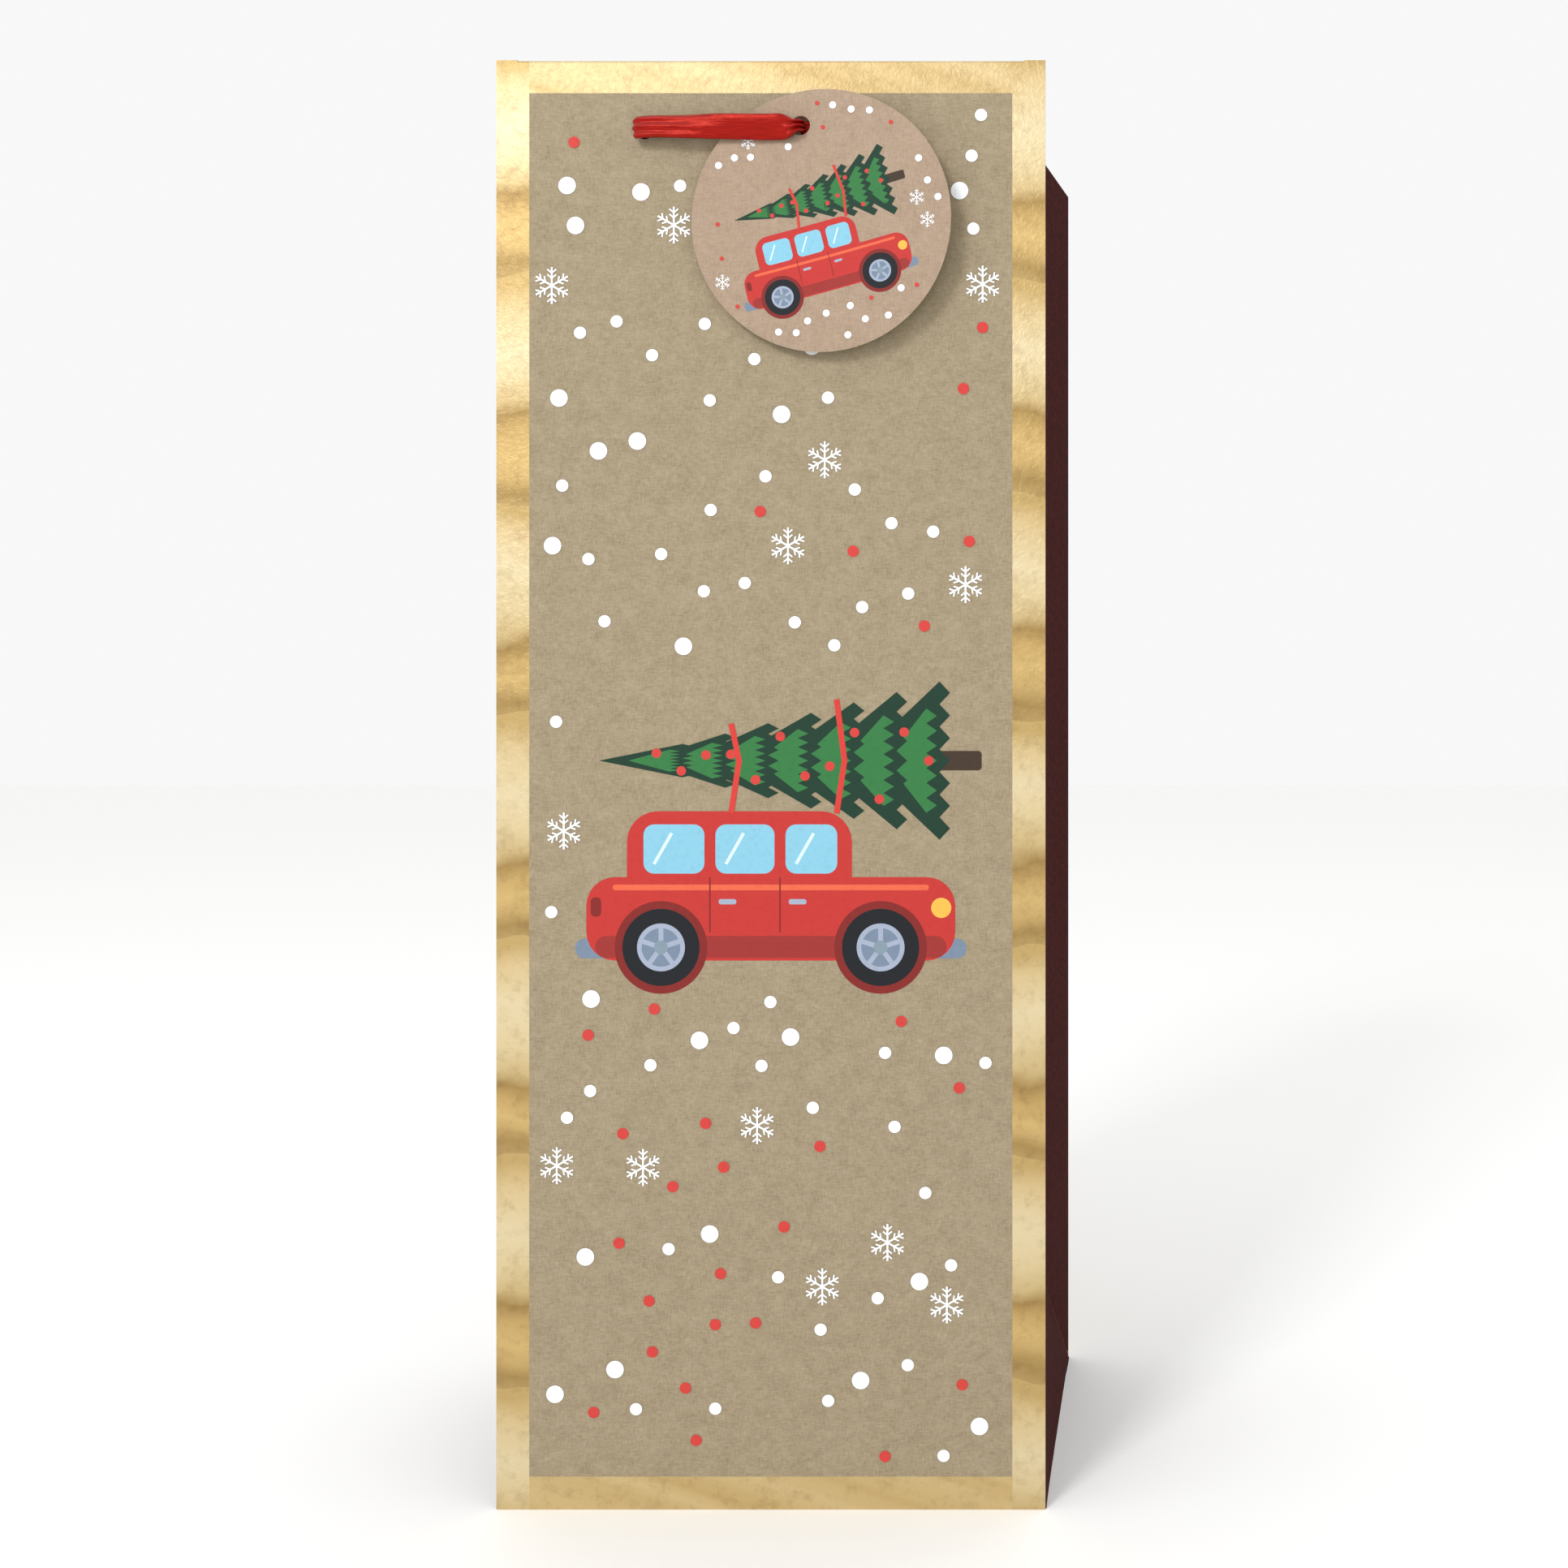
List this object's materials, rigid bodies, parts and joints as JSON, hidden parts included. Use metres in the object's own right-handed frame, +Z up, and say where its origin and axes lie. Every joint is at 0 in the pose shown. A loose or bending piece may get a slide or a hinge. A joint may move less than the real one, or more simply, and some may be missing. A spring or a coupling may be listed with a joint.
{
  "type": "wine gift bag",
  "caption": "Tall kraft paper gift bag for one bottle, with a foil border, printed winter motif, pleated gussets, satin ribbon through its mouth and a round hanging tag.",
  "frame": {"origin": "middle of the underside of the base, on the surface that the bag stands on", "axes": "+Z up to the mouth, -Y out of the printed front panel, +X to the right as seen from the front"},
  "size_m": [0.125, 0.0839, 0.33],
  "materials": {
    "foil_bordered_kraft": "uncoated brown kraft with printed flat ink and a hot-stamped pale gold border",
    "hem_kraft": "uncoated brown kraft",
    "maroon_paper": "kraft printed dark red, matt",
    "grey_board": "grey recycled board",
    "base_kraft": "uncoated brown kraft",
    "red_satin": "satin weave polyester ribbon",
    "tag_card": "kraft-faced card with printed flat ink, pale cut edge"
  },
  "bodies": {
    "back_and_base": {"back_panel": "foil_bordered_kraft", "back_hem_card": "grey_board", "back_hem": "hem_kraft", "side_seam_tab": "hem_kraft", "back_ribbon": "red_satin", "front_base_flap": "base_kraft", "rear_base_flap": "base_kraft", "right_base_flap": "base_kraft", "left_base_flap": "base_kraft", "base_card": "grey_board", "right_side_triangle": "maroon_paper", "left_side_triangle": "maroon_paper", "back_left_tail": "red_satin", "back_right_tail": "red_satin", "back_left_knot": "red_satin", "back_right_knot": "red_satin"},
    "right_rear_half": {"right_gusset_rear": "maroon_paper", "right_hem_rear": "maroon_paper"},
    "right_front_half": {"right_gusset_front": "maroon_paper", "right_hem_front": "maroon_paper"},
    "front": {"front_panel": "foil_bordered_kraft", "front_hem_card": "grey_board", "front_hem": "hem_kraft", "front_ribbon_left": "red_satin", "front_ribbon_right": "red_satin", "front_left_tail": "red_satin", "front_right_tail": "red_satin", "front_left_knot": "red_satin", "front_right_knot": "red_satin"},
    "left_rear_half": {"left_gusset_rear": "maroon_paper", "left_hem_rear": "maroon_paper"},
    "left_front_half": {"left_gusset_front": "maroon_paper", "left_hem_front": "maroon_paper"},
    "tag_ribbon": {"front_ribbon_on_tag": "red_satin"},
    "tag": {"gift_tag": "tag_card"}
  },
  "joints": [
    {"name": "bag_fold", "type": "hinge", "parent": "back_and_base", "child": "right_rear_half", "pos_m": [0.06235, 0.03913, 0.165], "axis": [0, 0, -1], "range_deg": [0, 60], "deforming": ["right_side_triangle", "left_side_triangle"]},
    {"name": "right_middle_crease", "type": "hinge", "parent": "right_rear_half", "child": "right_front_half", "pos_m": [0.05403, 0, 0.165], "axis": [0, 0, -1], "range_deg": [-125, 5]},
    {"name": "right_front_crease", "type": "hinge", "parent": "right_front_half", "child": "front", "pos_m": [0.06235, -0.03913, 0.165], "axis": [0, 0, -1], "range_deg": [-5, 65]},
    {"name": "left_rear_crease", "type": "hinge", "parent": "back_and_base", "child": "left_rear_half", "pos_m": [-0.06235, 0.03913, 0.165], "axis": [0, 0, -1], "range_deg": [-65, 5]},
    {"name": "left_middle_crease", "type": "hinge", "parent": "left_rear_half", "child": "left_front_half", "pos_m": [-0.05403, 0, 0.165], "axis": [0, 0, -1], "range_deg": [-5, 125]},
    {"name": "tag_lift", "type": "hinge", "parent": "front", "child": "tag_ribbon", "pos_m": [0.0074, -0.04203, 0.325], "axis": [-1, 0, 0], "range_deg": [0, 45]},
    {"name": "tag_swing", "type": "hinge", "parent": "tag_ribbon", "child": "tag", "pos_m": [0.0074, -0.04203, 0.314], "axis": [0, -1, 0], "range_deg": [-30, 25]}
  ],
  "couplings": [
    {"joint": "right_middle_crease", "follows": "bag_fold", "ratio": -2},
    {"joint": "right_front_crease", "follows": "bag_fold", "ratio": 1},
    {"joint": "left_rear_crease", "follows": "bag_fold", "ratio": -1},
    {"joint": "left_middle_crease", "follows": "bag_fold", "ratio": 2}
  ]
}
